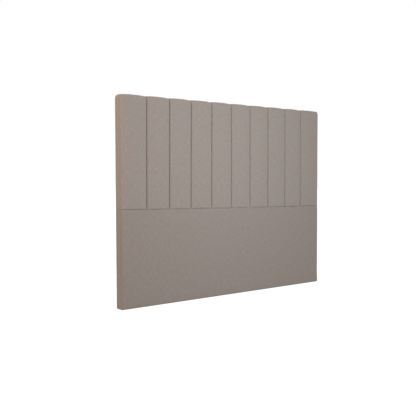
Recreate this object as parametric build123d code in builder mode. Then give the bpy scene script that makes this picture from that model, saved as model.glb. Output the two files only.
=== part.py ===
"""Upholstered headboard: ten vertical channels over a plain padded lower half, on a pine frame.

X runs along the width, -Y is the front, +Z is up. The origin is the middle of the base.
All lengths are in millimetres.
"""
import os
from math import asin, cos, degrees, radians, sin

from build123d import *

os.makedirs("parts", exist_ok=True)

# Overall sizes of the padded panel
panel_width = 1600
panel_height = 1200
seam_height = 550

# Layers, from the front to the back
fabric_thickness = 1.2
foam_thickness = 25
board_thickness = 4
frame_thickness = 33
dust_cloth_thickness = 0.6

# Channels of the upper cover, of which the two at the ends are a little wider
channel_count = 10
end_channel_extra = 13.75
valley_depth = 9
crown_rise = 2.5
shoulder_width = 13
tuck_depth = 8

# What is left of the channels at the back of the top edge
valley_depth_back = 1.2
crown_rise_back = 0.4

# Rounded outline of the covers
side_radius = 18
side_radius_back = 9
bottom_radius = 14
bottom_corner_radius = 6

# Flat facets that stand in for the soft rounded parts of the covers and the foam
shoulder_facets = 3
corner_facets = 5

# Horizontal crease between the covers
crease_depth = 9
crease_height = 12

# Back of the covers and the dust cloth
border_width = 52
dust_cloth_inset = 15
dust_cloth_corner_radius = 4

# Edge wadding and pull-in tapes
side_wadding_thickness = 5
top_wadding_thickness = 12
tape_thickness = 1.6

# Pine frame
stile_width = 58
rail_width = 58
stud_width = 45
stud_spacing = 490
arris = 1.5
board_joint = 3
block_leg = 90
block_thickness = 15

# Loose tenons of the frame
tenon_length = 50
tenon_width = 30
tenon_thickness = 10
tenon_end_gap = 0.5

# Raised keyhole hanger brackets
hanger_spacing = 1000
hanger_length = 96
hanger_height = 34
hanger_drop = 34
hanger_plate = 2
hanger_gap = 4.5
bridge_length = 44
ramp_length = 9
bend_radius = 3
foot_corner_radius = 6
keyhole_radius = 5
slot_width = 5
slot_rise = 12
keyhole_drop = 6

# Pan-head screws that hold the brackets
screw_diameter = 4
screw_length = 22
screw_tip_length = 5
screw_head_diameter = 8
screw_head_height = 2.2
screw_head_rim = 1
screw_edge_distance = 10

# Clearances, and how far a cut runs past what it cuts
seat_gap = 0.3
tenon_clearance = 0.1
screw_clearance = 0.1
cut_overrun = 5

# Levels along Y, counted back from the front crown
panel_depth = (
    fabric_thickness + foam_thickness + board_thickness
    + frame_thickness + fabric_thickness + dust_cloth_thickness
)
overall_depth = panel_depth + hanger_gap + hanger_plate
front_y = -overall_depth / 2
board_y = front_y + fabric_thickness + foam_thickness
frame_y = board_y + board_thickness
border_y = frame_y + frame_thickness
cloth_y = border_y + fabric_thickness
back_y = cloth_y + dust_cloth_thickness

# The top edge is rounded about a line on the board's front face
top_radius = board_y - front_y
top_axis_z = panel_height - top_radius

# Places of the creases along X
half_width = panel_width / 2
channel_pitch = (panel_width - 2 * end_channel_extra) / channel_count
seam_xs = [end_channel_extra - half_width + k * channel_pitch for k in range(1, channel_count)]

# Outlines of the foam, the frame and the boards
foam_inset = fabric_thickness + seat_gap
frame_half = half_width - fabric_thickness - side_wadding_thickness
frame_bottom = foam_inset
frame_top = panel_height - fabric_thickness - top_wadding_thickness
stile_inside = frame_half - stile_width
top_rail_bottom = frame_top - rail_width
bottom_rail_top = frame_bottom + rail_width
middle_rail_bottom = seam_height - rail_width / 2
middle_rail_top = seam_height + rail_width / 2

# Places of the tenons: those along X join rails to stiles, those along Z join studs to rails
tenon_y = frame_y + frame_thickness / 2
rail_tenons = [
    (side * stile_inside, tenon_y, (bottom + top) / 2)
    for side in (-1, 1)
    for bottom, top in (
        (frame_bottom, bottom_rail_top),
        (middle_rail_bottom, middle_rail_top),
        (top_rail_bottom, frame_top),
    )
]
stud_tenons = [
    (side * stud_spacing / 2, tenon_y, z)
    for side in (-1, 1)
    for z in (bottom_rail_top, middle_rail_bottom, middle_rail_top, top_rail_bottom)
]

# Places of the bracket screws, and the hole that each one passes through
hanger_z = panel_height - hanger_drop
screw_xs = [
    side * hanger_spacing / 2 + end * (hanger_length / 2 - screw_edge_distance)
    for side in (-1, 1)
    for end in (-1, 1)
]
screw_hole_radius = screw_diameter / 2 + screw_clearance
screw_hole_bottom = back_y + hanger_plate - screw_length - screw_clearance
screw_hole_length = back_y + cut_overrun - screw_hole_bottom
screw_holes = [(x, screw_hole_bottom + screw_hole_length / 2, hanger_z) for x in screw_xs]


def arc_radius(half_chord, drop):
    """Radius of an arc that starts level and falls by drop over half_chord."""
    return (half_chord**2 + drop**2) / (2 * drop)


def arc_points(centre, radius, start, turn, facets):
    """Corners of the straight facets that follow an arc from the angle start on through turn."""
    angles = [radians(start + turn * k / facets) for k in range(facets + 1)]
    return [(centre[0] + radius * cos(a), centre[1] + radius * sin(a)) for a in angles]


def lead_in(points):
    """The facets of points, with the first one carried on outwards to clear the front."""
    (first_y, first_z), (second_y, second_z) = points[:2]
    stretch = cut_overrun / (second_y - first_y)
    ahead = (first_y - cut_overrun, first_z - stretch * (second_z - first_z))
    return [ahead] + points[1:]


def finish(piece, name):
    """Label a piece and write it."""
    piece.label = name
    export_step(piece, f"parts/{name}.step")


def block(x_range, y_range, z_range):
    """Plain rectangular block between two levels on each axis."""
    with BuildPart() as bar:
        with BuildSketch(Plane.XY.offset(z_range[0])):
            with Locations((sum(x_range) / 2, sum(y_range) / 2)):
                Rectangle(x_range[1] - x_range[0], y_range[1] - y_range[0])
        extrude(amount=z_range[1] - z_range[0])
    return bar.part


def front_plane(z):
    """Plane at height z whose local Y points to the front and whose normal points down."""
    return Plane(origin=(0, board_y, z), x_dir=(1, 0, 0), z_dir=(0, 0, -1))


def top_plane(y):
    """Upright plane at y whose local Y points up and whose normal points to the front."""
    return Plane(origin=(0, y, top_axis_z), x_dir=(1, 0, 0), z_dir=(0, -1, 0))


def channel_section(first, last, inset, tuck, valley, rise, corner):
    """Cross-section of channels first to last, with local Y counted out from the board's front.

    inset moves the outline inwards, and tuck is the half gap left at a crease that ends the section.
    """
    creases = [-half_width] + seam_xs + [half_width]
    shoulder = arc_radius(shoulder_width, valley - rise)
    shoulder_centre = top_radius - rise - shoulder
    shoulder_arc = shoulder - inset
    corner_centre = top_radius - rise - corner
    outline = []
    for k in range(first, last + 1):
        if k == 0:
            crown_left = creases[k] + corner
            start = arc_points((crown_left, corner_centre), corner - inset, 180, -90, corner_facets)
        else:
            crown_left = creases[k] + shoulder_width
            reach = shoulder_width - (tuck if k == first else 0)
            turn = degrees(asin(reach / shoulder_arc))
            centre = (crown_left, shoulder_centre)
            start = arc_points(centre, shoulder_arc, 90 + turn, -turn, shoulder_facets)
        if k == channel_count - 1:
            crown_right = creases[k + 1] - corner
            end = arc_points((crown_right, corner_centre), corner - inset, 90, -90, corner_facets)
        else:
            crown_right = creases[k + 1] - shoulder_width
            reach = shoulder_width - (tuck if k == last else 0)
            turn = degrees(asin(reach / shoulder_arc))
            centre = (crown_right, shoulder_centre)
            end = arc_points(centre, shoulder_arc, 90, -turn, shoulder_facets)
        crown = [((crown_left + crown_right) / 2, top_radius - inset)]
        outline += (start if k == first else start[1:]) + crown + end
    with BuildSketch() as section:
        with BuildLine():
            Polyline((outline[0][0], 0), *outline, (outline[-1][0], 0), close=True)
        make_face()
    return section.sketch


def front_pad(first, last, inset, tuck, foot):
    """Channels first to last, from the height foot up and round the top edge to the board."""
    face = channel_section(first, last, inset, tuck, valley_depth, crown_rise, side_radius)
    top_axis = Axis((0, board_y, top_axis_z), (-1, 0, 0))
    step = 90 / corner_facets
    half_step = radians(step / 2)
    with BuildPart() as wedge:
        with BuildSketch(front_plane(top_axis_z)):
            add(face)
        extrude(amount=top_radius, dir=(0, sin(half_step), cos(half_step)))
        split(bisect_by=Plane(
            origin=top_axis.position, x_dir=(1, 0, 0),
            z_dir=(0, sin(2 * half_step), cos(2 * half_step)),
        ), keep=Keep.BOTTOM)
    with BuildPart() as pad:
        with BuildSketch(front_plane(top_axis_z)):
            add(face)
        extrude(amount=top_axis_z - foot)
        add([wedge.part.rotate(top_axis, k * step) for k in range(corner_facets)])
    return pad.part


def top_pad(inset, y_end):
    """Channels that fade out along the top, from the board's front back to y_end."""
    last = channel_count - 1
    near = channel_section(0, last, inset, 0, valley_depth, crown_rise, side_radius)
    far = channel_section(0, last, inset, 0, valley_depth_back, crown_rise_back, side_radius_back)
    with BuildPart() as pad:
        with BuildSketch(top_plane(board_y)):
            add(near)
        with BuildSketch(top_plane(y_end)):
            add(far)
        loft(ruled=True)
    return pad.part


def crease_cutter(inset, side):
    """Bar along X that rounds a pad's front edge into the horizontal crease.

    side is 1 above the seam and -1 below it.
    """
    radius = arc_radius(crease_height, crease_depth)
    pad_radius = radius - inset
    turn = degrees(asin((crease_height - inset) / pad_radius))
    centre = (front_y + radius, seam_height + side * crease_height)
    lip = lead_in(arc_points(centre, pad_radius, 180, side * turn, shoulder_facets))
    beyond_z = seam_height - side * cut_overrun
    with BuildPart() as cutter:
        with BuildSketch(Plane.YZ.offset(-half_width - cut_overrun)):
            with BuildLine():
                Polyline(*lip, (lip[-1][0], beyond_z), (lip[0][0], beyond_z), close=True)
            make_face()
        extrude(amount=panel_width + 2 * cut_overrun)
    return cutter.part


def tape_profile(depth, foot):
    """Side outline, in Y and Z, of what lies between two channels deeper than depth."""
    inner_y = front_y + depth
    with BuildSketch() as profile:
        with BuildLine():
            Polyline((board_y, top_axis_z), (board_y, foot), (inner_y, foot), (inner_y, top_axis_z))
            CenterArc((board_y, top_axis_z), board_y - inner_y, 90, 90)
            Line((board_y, top_axis_z + board_y - inner_y), (board_y, top_axis_z))
        make_face()
    return profile.sketch


def between_channels(profile, thickness):
    """The outline profile, given a thickness and set in the middle of every crease."""
    with BuildPart() as strips:
        for x in seam_xs:
            with BuildSketch(Plane.YZ.offset(x - thickness / 2)):
                add(profile)
            extrude(amount=thickness)
    return strips.part


def lower_pad(inset, y_end, head):
    """Plain padded lower half up to the height head, reaching back to y_end."""
    left = inset - half_width
    right = half_width - inset
    corner_arc = side_radius - inset
    corner_x = half_width - side_radius
    corner_y = top_radius - side_radius
    left_corner = arc_points((-corner_x, corner_y), corner_arc, 180, -90, corner_facets)
    right_corner = arc_points((corner_x, corner_y), corner_arc, 90, -90, corner_facets)
    floor_centre = (front_y + bottom_radius, bottom_radius)
    floor_lip = lead_in(arc_points(floor_centre, bottom_radius - inset, 180, 90, corner_facets))
    with BuildPart() as pad:
        with BuildSketch(front_plane(head)):
            with BuildLine():
                Polyline(
                    (left, board_y - y_end), *left_corner,
                    *right_corner, (right, board_y - y_end), close=True,
                )
            make_face()
        extrude(amount=head - inset)
        with BuildSketch(Plane.YZ.offset(-half_width - cut_overrun)):
            with BuildLine():
                Polyline(
                    *floor_lip, (front_y + bottom_radius, -cut_overrun),
                    (floor_lip[0][0], -cut_overrun), close=True,
                )
            make_face()
        extrude(amount=panel_width + 2 * cut_overrun, mode=Mode.SUBTRACT)
        with BuildSketch(Plane.XZ.offset(cut_overrun - front_y)) as outline:
            with Locations((0, (head + inset) / 2)):
                Rectangle(right - left, head - inset)
            fillet(outline.vertices().group_by(Axis.Y)[0], bottom_corner_radius - inset)
        extrude(amount=-(y_end - front_y + 2 * cut_overrun), mode=Mode.INTERSECT)
    return pad.part


def back_opening(z_range):
    """What the cover leaves open at the back, inside its border."""
    opening_half = half_width - border_width
    return block((-opening_half, opening_half), (border_y, cloth_y + cut_overrun), z_range)


def seam_allowance(z_range):
    """Strip of cover that passes between the two boards to the middle rail."""
    strip_half = frame_half - seat_gap
    return block((-strip_half, strip_half), (board_y - fabric_thickness, frame_y), z_range)


def cut_screw_holes():
    """Holes that the bracket screws pass through, cut from the piece being built."""
    with Locations(*screw_holes):
        Cylinder(screw_hole_radius, screw_hole_length, rotation=(90, 0, 0), mode=Mode.SUBTRACT)


def cover_upper():
    """Channelled fabric shell with its creases, turned-in tucks, side walls and back border."""
    inset = fabric_thickness
    last = channel_count - 1
    foot = seam_height + inset
    inside_half = half_width - inset
    tape_slot = tape_profile(valley_depth + tuck_depth, foot)
    with BuildPart() as inside:
        add([front_pad(k, k, inset, inset, foot) for k in range(channel_count)])
        add(between_channels(tape_slot, 2 * inset))
        add(crease_cutter(inset, 1), mode=Mode.SUBTRACT)
        add(top_pad(inset, border_y))
        add(block(
            (-inside_half, inside_half), (board_y, border_y), (seam_height - cut_overrun, top_axis_z)
        ))
        add(back_opening((seam_height - cut_overrun, panel_height - border_width)))
    with BuildPart() as cover:
        add([
            front_pad(0, last, 0, 0, seam_height),
            top_pad(0, cloth_y),
            block((-half_width, half_width), (board_y, cloth_y), (seam_height, top_axis_z)),
        ])
        add([crease_cutter(0, 1), inside.part], mode=Mode.SUBTRACT)
        add(seam_allowance((seam_height, foot)))
        cut_screw_holes()
    finish(cover.part, "cover_upper")


def cover_lower():
    """Plain fabric shell of the lower half, closed under the frame, with its back border."""
    inset = fabric_thickness
    inside_half = half_width - inset
    head = seam_height - inset
    above = seam_height + cut_overrun
    with BuildPart() as inside:
        add(lower_pad(inset, border_y, head))
        add(crease_cutter(inset, -1), mode=Mode.SUBTRACT)
        add(block((-inside_half, inside_half), (board_y, border_y), (border_width, above)))
        add(back_opening((border_width, above)))
    with BuildPart() as cover:
        add(lower_pad(0, cloth_y, seam_height))
        add([crease_cutter(0, -1), inside.part], mode=Mode.SUBTRACT)
        add(seam_allowance((head, seam_height)))
    finish(cover.part, "cover_lower")


def foam_channels():
    """One foam strip behind each channel, seated on the upper board."""
    foot = seam_height + foam_inset
    cutter = crease_cutter(foam_inset, 1)
    for k in range(channel_count):
        with BuildPart() as strip:
            add(front_pad(k, k, foam_inset, foam_inset, foot))
            add(cutter, mode=Mode.SUBTRACT)
        finish(strip.part, f"foam_channel_{k + 1:02d}")


def foam_lower():
    """Foam sheet of the plain lower half, seated on the lower board."""
    with BuildPart() as sheet:
        add(lower_pad(foam_inset, board_y, seam_height - foam_inset))
        add(crease_cutter(foam_inset, -1), mode=Mode.SUBTRACT)
    finish(sheet.part, "foam_lower")


def seam_tapes():
    """Folded tapes that pull the tucks of the vertical creases to the board."""
    profile = tape_profile(valley_depth + tuck_depth + seat_gap, seam_height + foam_inset)
    finish(between_channels(profile, tape_thickness), "seam_tapes")


def wadding():
    """Soft edging over the frame's sides and top."""
    outer = half_width - foam_inset
    side_z = (bottom_corner_radius, panel_height - crown_rise - side_radius)
    finish(block((-outer, -frame_half), (board_y, border_y), side_z), "wadding_left")
    finish(block((frame_half, outer), (board_y, border_y), side_z), "wadding_right")
    with BuildPart() as top:
        add(top_pad(foam_inset, border_y))
        add(
            block((-half_width, half_width), (board_y, border_y), (top_axis_z, frame_top)),
            mode=Mode.SUBTRACT,
        )
    finish(top.part, "wadding_top")


def tenons(spare_length, spare, mode=Mode.ADD):
    """Blocks in every frame joint, in the size of a loose tenon and what is spared around it."""
    length = tenon_length + 2 * spare_length
    width = tenon_width + 2 * spare
    thickness = tenon_thickness + 2 * spare
    with Locations(*rail_tenons):
        Box(length, thickness, width, mode=mode)
    with Locations(*stud_tenons):
        Box(width, thickness, length, mode=mode)


def timber(name, x_range, z_range):
    """Planed pine piece with eased long edges, its mortises and its screw holes."""
    long_axis = Axis.X if x_range[1] - x_range[0] > z_range[1] - z_range[0] else Axis.Z
    with BuildPart() as piece:
        add(block(x_range, (frame_y, border_y), z_range))
        chamfer(piece.edges().filter_by(long_axis), arris)
        tenons(tenon_end_gap, tenon_clearance, Mode.SUBTRACT)
        cut_screw_holes()
    finish(piece.part, name)


def frame():
    """Pine frame: two stiles, three rails between them and four studs between the rails."""
    timber("stile_left", (-frame_half, -stile_inside), (frame_bottom, frame_top))
    timber("stile_right", (stile_inside, frame_half), (frame_bottom, frame_top))
    between = (-stile_inside, stile_inside)
    timber("top_rail", between, (top_rail_bottom, frame_top))
    timber("middle_rail", between, (middle_rail_bottom, middle_rail_top))
    timber("bottom_rail", between, (frame_bottom, bottom_rail_top))
    for side, side_name in ((-1, "left"), (1, "right")):
        middle = side * stud_spacing / 2
        width = (middle - stud_width / 2, middle + stud_width / 2)
        timber(f"stud_upper_{side_name}", width, (middle_rail_top, top_rail_bottom))
        timber(f"stud_lower_{side_name}", width, (bottom_rail_top, middle_rail_bottom))


def corner_blocks():
    """Triangular plywood blocks in the frame's four corners, against the boards."""
    for side, side_name in ((-1, "left"), (1, "right")):
        for end, end_name, level in ((-1, "bottom", bottom_rail_top), (1, "top", top_rail_bottom)):
            corner = (side * stile_inside, level)
            with BuildPart() as corner_block:
                with BuildSketch(Plane.XZ.offset(-frame_y - block_thickness)):
                    with BuildLine():
                        Polyline(
                            corner,
                            (corner[0] - side * block_leg, level),
                            (corner[0], level - end * block_leg),
                            close=True,
                        )
                    make_face()
                extrude(amount=block_thickness)
            finish(corner_block.part, f"corner_block_{end_name}_{side_name}")


def boards():
    """Thin hardboard facings that the foam lies on, one over each half of the frame."""
    across = (-frame_half, frame_half)
    upper = (seam_height + board_joint / 2, frame_top)
    lower = (frame_bottom, seam_height - board_joint / 2)
    finish(block(across, (board_y, frame_y), upper), "board_upper")
    finish(block(across, (board_y, frame_y), lower), "board_lower")


def frame_tenons():
    """Loose beech tenons of all the frame's joints."""
    with BuildPart() as pieces:
        tenons(0, 0)
    finish(pieces.part, "frame_tenons")


def dust_cover():
    """Thin non-woven cloth that closes the back inside its edges."""
    with BuildPart() as cloth:
        with BuildSketch(Plane.XZ.offset(-cloth_y)):
            with Locations((0, panel_height / 2)):
                RectangleRounded(
                    panel_width - 2 * dust_cloth_inset,
                    panel_height - 2 * dust_cloth_inset,
                    dust_cloth_corner_radius,
                )
        extrude(amount=-dust_cloth_thickness)
        cut_screw_holes()
    finish(cloth.part, "dust_cover")


def hanger_bracket(name, x):
    """Bent steel strip whose raised middle has a keyhole for a wall screw."""
    foot_y = back_y + hanger_plate / 2
    bridge_y = foot_y + hanger_gap
    ramp_foot = bridge_length / 2 + ramp_length
    keyhole_z = hanger_z - keyhole_drop
    with BuildPart() as hanger:
        with BuildSketch(Plane.XY.offset(hanger_z - hanger_height / 2)):
            with BuildLine():
                FilletPolyline(
                    (x - hanger_length / 2, foot_y), (x - ramp_foot, foot_y),
                    (x - bridge_length / 2, bridge_y), (x + bridge_length / 2, bridge_y),
                    (x + ramp_foot, foot_y), (x + hanger_length / 2, foot_y),
                    radius=bend_radius,
                )
            trace(line_width=hanger_plate)
        extrude(amount=hanger_height)
        ends = hanger.edges().filter_by(Axis.Y).group_by(Axis.X)
        fillet(ends[0] + ends[-1], foot_corner_radius)
        with BuildSketch(Plane.XZ.offset(-bridge_y)):
            with Locations((x, keyhole_z)):
                Circle(keyhole_radius)
            with Locations((x, keyhole_z + slot_rise / 2)):
                SlotCenterToCenter(slot_rise, slot_width, rotation=90)
        extrude(amount=hanger_plate, both=True, mode=Mode.SUBTRACT)
        cut_screw_holes()
    finish(hanger.part, name)


def hanger_screws():
    """Pan-head screws that fasten the brackets through the cloth into the top rail."""
    radius = screw_diameter / 2
    head_radius = screw_head_diameter / 2
    with BuildPart() as screw:
        with BuildSketch():
            with BuildLine():
                TangentArc((0, screw_head_height), (head_radius, screw_head_rim), tangent=(1, 0))
                Polyline(
                    (head_radius, screw_head_rim), (head_radius, 0), (radius, 0),
                    (radius, screw_tip_length - screw_length), (0, -screw_length),
                    (0, screw_head_height),
                )
            make_face()
        revolve(axis=Axis.Y)
    with BuildPart() as screws:
        with Locations(*[(x, back_y + hanger_plate, hanger_z) for x in screw_xs]):
            add(screw.part)
    finish(screws.part, "hanger_screws")


cover_upper()
cover_lower()
foam_channels()
foam_lower()
seam_tapes()
wadding()
frame()
corner_blocks()
boards()
frame_tenons()
dust_cover()
hanger_bracket("hanger_bracket_left", -hanger_spacing / 2)
hanger_bracket("hanger_bracket_right", hanger_spacing / 2)
hanger_screws()
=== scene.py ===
"""Upholstered headboard: ten vertical channels over a plain padded lower half.

X runs along the width, -Y is the front, +Z is up, and every length is in metres.
"""
from collections import namedtuple
from math import asin, cos, pi, radians, sin

import bmesh
import bpy
import numpy as np
from mathutils import Matrix, Vector


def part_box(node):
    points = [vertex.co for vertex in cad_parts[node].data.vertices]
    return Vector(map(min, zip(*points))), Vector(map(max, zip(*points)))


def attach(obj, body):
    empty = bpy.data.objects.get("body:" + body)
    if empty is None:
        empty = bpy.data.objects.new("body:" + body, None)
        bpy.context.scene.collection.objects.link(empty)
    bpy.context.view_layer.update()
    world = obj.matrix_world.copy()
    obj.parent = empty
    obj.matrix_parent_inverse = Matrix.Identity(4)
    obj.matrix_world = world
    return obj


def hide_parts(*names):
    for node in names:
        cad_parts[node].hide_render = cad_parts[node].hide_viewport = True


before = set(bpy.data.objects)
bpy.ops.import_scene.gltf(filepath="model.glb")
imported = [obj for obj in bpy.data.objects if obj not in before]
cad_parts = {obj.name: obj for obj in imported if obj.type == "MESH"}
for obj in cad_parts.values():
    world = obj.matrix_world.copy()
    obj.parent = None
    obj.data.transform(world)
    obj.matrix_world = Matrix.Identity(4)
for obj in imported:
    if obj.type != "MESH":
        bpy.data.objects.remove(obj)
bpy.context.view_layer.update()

MM = 0.001
CHANNELS = 10

# Sizes that the frame gives
UPPER_LOW, UPPER_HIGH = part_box("cover_upper")
HALF_WIDTH, TOP, SEAM = UPPER_HIGH.x, UPPER_HIGH.z, UPPER_LOW.z
FRONT, BACK = UPPER_LOW.y, UPPER_HIGH.y
BOARD_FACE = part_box("board_upper")[0].y
FRAME_SIDE, FRAME_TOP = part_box("stile_right")[1].x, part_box("top_rail")[1].z
TOP_REACH = BOARD_FACE - FRONT
TOP_AXIS = TOP - TOP_REACH

# Cloth, and what lies under it
FABRIC = 1.2 * MM
SEAT_GAP = 0.3 * MM
UNDER = FABRIC + SEAT_GAP
BORDER = 52 * MM
HEM = 12 * MM
SLACK_IN = 90 * MM

# Staples along the hem, and the brackets' screws
STAPLE_SPACING = 50 * MM
STAPLE_LEVEL = 0.75 * MM
SCREW_IN = 10 * MM
HEAD_RISE = 2.2 * MM

# Soft forms of the covers
VALLEY = 9.5 * MM
CROWN = 2.6 * MM
SHOULDER = 14 * MM
TUCK = 8 * MM
MOUTH = 1.1 * MM
SIDE_ROUND = 18 * MM
TOP_ROUND = 25 * MM
RIGHT_ROUND = 7 * MM
END_FIELD = 60 * MM
FOOT_ROUND = 8 * MM
BACK_ROUND = 5 * MM
FLOOR_ROUND = 13 * MM
LIP_HEIGHT = 11 * MM
LIP_DEPTH = 5.2 * MM
SEAM_GAP = 0.25 * MM
SIDE_GROOVE = 1.4 * MM
SIDE_TURN_IN = 4.4 * MM
SLUMP = 1.4 * MM
SLUMP_SPREAD = 26 * MM
FOOT_BLEND = 60 * MM
FOOT_REACH = 6 * MM

# What the channels lose of their depth round the top edge, and then on the way back
TOP_FADE = 0.12
BACK_FADE = 0.7

# Rows of points across a cover: along a lip, behind the top's rounding, behind the board's face
LIP_STEPS = 9
OVER_TOP_ROWS = 10
BEHIND_ROWS = 6

# The simulation that settles the covers' cloth; no point moves further than the swell
CHANNEL_PRESSURE = 4.0
PLAIN_PRESSURE = 0.15
SWELL = 2 * MM
SETTLING_FRAMES = 20

# A pad takes its cover's seed, so that both have the same unevenness
UPPER_SEED = 3
LOWER_SEED = 8

# How the hand sewing strays: the seam sags and drops to the right, the creases on the left
# lean, and the last one on the right sits nearer to the others
SEAM_SAG = -4 * MM
SEAM_DROP = -10 * MM
SEAM_SPREAD = 120 * MM
CREASE_LEAN = 15 * MM
LAST_CREASE_OFF = 7 * MM

FOAM_BOXES = [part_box(f"foam_channel_{k:02d}") for k in range(1, CHANNELS + 1)]
CREASES = [(a[1].x + b[0].x) / 2 for a, b in zip(FOAM_BOXES, FOAM_BOXES[1:])]
CREASES[-1] -= LAST_CREASE_OFF
EDGES = [-HALF_WIDTH, *CREASES, HALF_WIDTH]

# One row across a cover: where it starts, its way out, and what its face has there
Row = namedtuple("Row", "y z out_y out_z reach round_off channels tucks lip")


def add_node(tree, kind, inputs=None, **settings):
    """Adds a node with its settings, and its inputs' values or links."""
    node = tree.nodes.new(kind)
    for name, value in settings.items():
        setattr(node, name, value)
    for key, value in (inputs or {}).items():
        if isinstance(value, bpy.types.NodeSocket):
            tree.links.new(value, node.inputs[key])
        else:
            node.inputs[key].default_value = value
    return node


def colour(hex_code):
    """sRGB hex to linear RGBA."""
    channels = [int(hex_code[i:i + 2], 16) / 255 for i in (1, 3, 5)]
    return [c / 12.92 if c <= 0.04045 else ((c + 0.055) / 1.055) ** 2.4 for c in channels] + [1]


def new_material(name, **constants):
    """Material with a Principled shader whose constants sit on its own sockets."""
    material = bpy.data.materials.new(name)
    material.use_nodes = True
    tree = material.node_tree
    shader = tree.nodes["Principled BSDF"]
    for key, value in constants.items():
        shader.inputs[key.replace("_", " ")].default_value = value
    return material, tree, shader


def woven_fabric(name, dark_yarn, pale_yarn):
    """Polyester linen-look weave: matt, melange yarns in close greiges, with faint slubs."""
    material, tree, shader = new_material(name, Roughness=0.92)
    shader.inputs["Specular IOR Level"].default_value = 0.25
    shader.inputs["Sheen Weight"].default_value = 0.12
    shader.inputs["Sheen Roughness"].default_value = 0.5
    weave = add_node(tree, "ShaderNodeUVMap", uv_map="weave").outputs["UV"]
    # yarns are about 0.6 mm apart; they are drawn 2.6 mm apart, so that the grain shows at all
    warp = add_node(tree, "ShaderNodeMapping", {"Vector": weave, "Scale": (385, 40, 1)})
    weft = add_node(tree, "ShaderNodeMapping", {"Vector": weave, "Scale": (40, 385, 1)})
    warp_slubs = add_node(tree, "ShaderNodeTexNoise", {
        "Vector": warp.outputs["Vector"], "Scale": 1.0, "Detail": 2.0, "Roughness": 0.6})
    weft_slubs = add_node(tree, "ShaderNodeTexNoise", {
        "Vector": weft.outputs["Vector"], "Scale": 1.0, "Detail": 2.0, "Roughness": 0.6})
    yarns = add_node(tree, "ShaderNodeMath", {
        0: warp_slubs.outputs["Fac"], 1: weft_slubs.outputs["Fac"]}, operation="ADD")
    grain = add_node(tree, "ShaderNodeMapRange", {
        "Value": yarns.outputs[0], "From Min": 0.7, "From Max": 1.3, "To Min": 0.0, "To Max": 1.0})
    # rose and grey-green fibres are spun together, in drifts of about 40 mm
    drifts = add_node(tree, "ShaderNodeTexNoise", {
        "Vector": weave, "Scale": 25.0, "Detail": 4.0, "Roughness": 0.6})
    shade = add_node(tree, "ShaderNodeMix", {
        "Factor": grain.outputs["Result"], "A": colour(dark_yarn), "B": colour(pale_yarn)},
        data_type="RGBA")
    hue = add_node(tree, "ShaderNodeMapRange", {
        "Value": drifts.outputs["Fac"],
        "From Min": 0.35, "From Max": 0.65, "To Min": 0.0, "To Max": 1.0})
    tints = add_node(tree, "ShaderNodeMix", {
        "Factor": hue.outputs["Result"], "A": colour("#fffafc"), "B": colour("#f9fff9")},
        data_type="RGBA")
    cloth = add_node(tree, "ShaderNodeMix", {
        "Factor": 1.0, "A": shade.outputs["Result"], "B": tints.outputs["Result"]},
        data_type="RGBA", blend_type="MULTIPLY")
    bump = add_node(tree, "ShaderNodeBump", {
        "Height": grain.outputs["Result"], "Strength": 0.3, "Distance": 0.0006})
    tree.links.new(cloth.outputs["Result"], shader.inputs["Base Color"])
    tree.links.new(bump.outputs["Normal"], shader.inputs["Normal"])
    return material


def foam_cells():
    """Open-cell polyurethane foam: pale yellow, dull, with fine pores."""
    material, tree, shader = new_material("open_cell_polyurethane_foam", Roughness=0.95)
    place = add_node(tree, "ShaderNodeTexCoord").outputs["Object"]
    # cells are about 0.6 mm wide; they are drawn 3 mm wide
    cells = add_node(tree, "ShaderNodeTexVoronoi", {"Vector": place, "Scale": 330.0})
    tint = add_node(tree, "ShaderNodeMix", {
        "Factor": cells.outputs["Distance"], "A": colour("#c9b77c"), "B": colour("#efe3b8")},
        data_type="RGBA")
    bump = add_node(tree, "ShaderNodeBump", {
        "Height": cells.outputs["Distance"], "Strength": 0.5, "Distance": 0.001})
    tree.links.new(tint.outputs["Result"], shader.inputs["Base Color"])
    tree.links.new(bump.outputs["Normal"], shader.inputs["Normal"])
    return material


def polyester_batting():
    """Carded polyester batting: white, loose fibres that scatter light softly."""
    material, tree, shader = new_material("carded_polyester_batting", Roughness=1.0)
    place = add_node(tree, "ShaderNodeTexCoord").outputs["Object"]
    # single fibres are too fine to show; they are drawn as tufts about 6 mm wide
    fibres = add_node(tree, "ShaderNodeTexNoise", {
        "Vector": place, "Scale": 160.0, "Detail": 6.0, "Roughness": 0.75})
    tint = add_node(tree, "ShaderNodeMix", {
        "Factor": fibres.outputs["Fac"], "A": colour("#d9d8d4"), "B": colour("#f7f6f2")},
        data_type="RGBA")
    bump = add_node(tree, "ShaderNodeBump", {
        "Height": fibres.outputs["Fac"], "Strength": 0.6, "Distance": 0.002})
    tree.links.new(tint.outputs["Result"], shader.inputs["Base Color"])
    tree.links.new(bump.outputs["Normal"], shader.inputs["Normal"])
    return material


def twill_tape():
    """Cotton twill tape: undyed, with a diagonal rib about 1 mm wide."""
    material, tree, shader = new_material("woven_cotton_twill_tape", Roughness=0.9)
    place = add_node(tree, "ShaderNodeTexCoord").outputs["Object"]
    rib = add_node(tree, "ShaderNodeTexWave", {"Vector": place, "Scale": 320.0},
                   bands_direction="DIAGONAL")
    tint = add_node(tree, "ShaderNodeMix", {
        "Factor": rib.outputs["Fac"], "A": colour("#cfc8b8"), "B": colour("#e8e2d4")},
        data_type="RGBA")
    tree.links.new(tint.outputs["Result"], shader.inputs["Base Color"])
    return material


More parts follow.
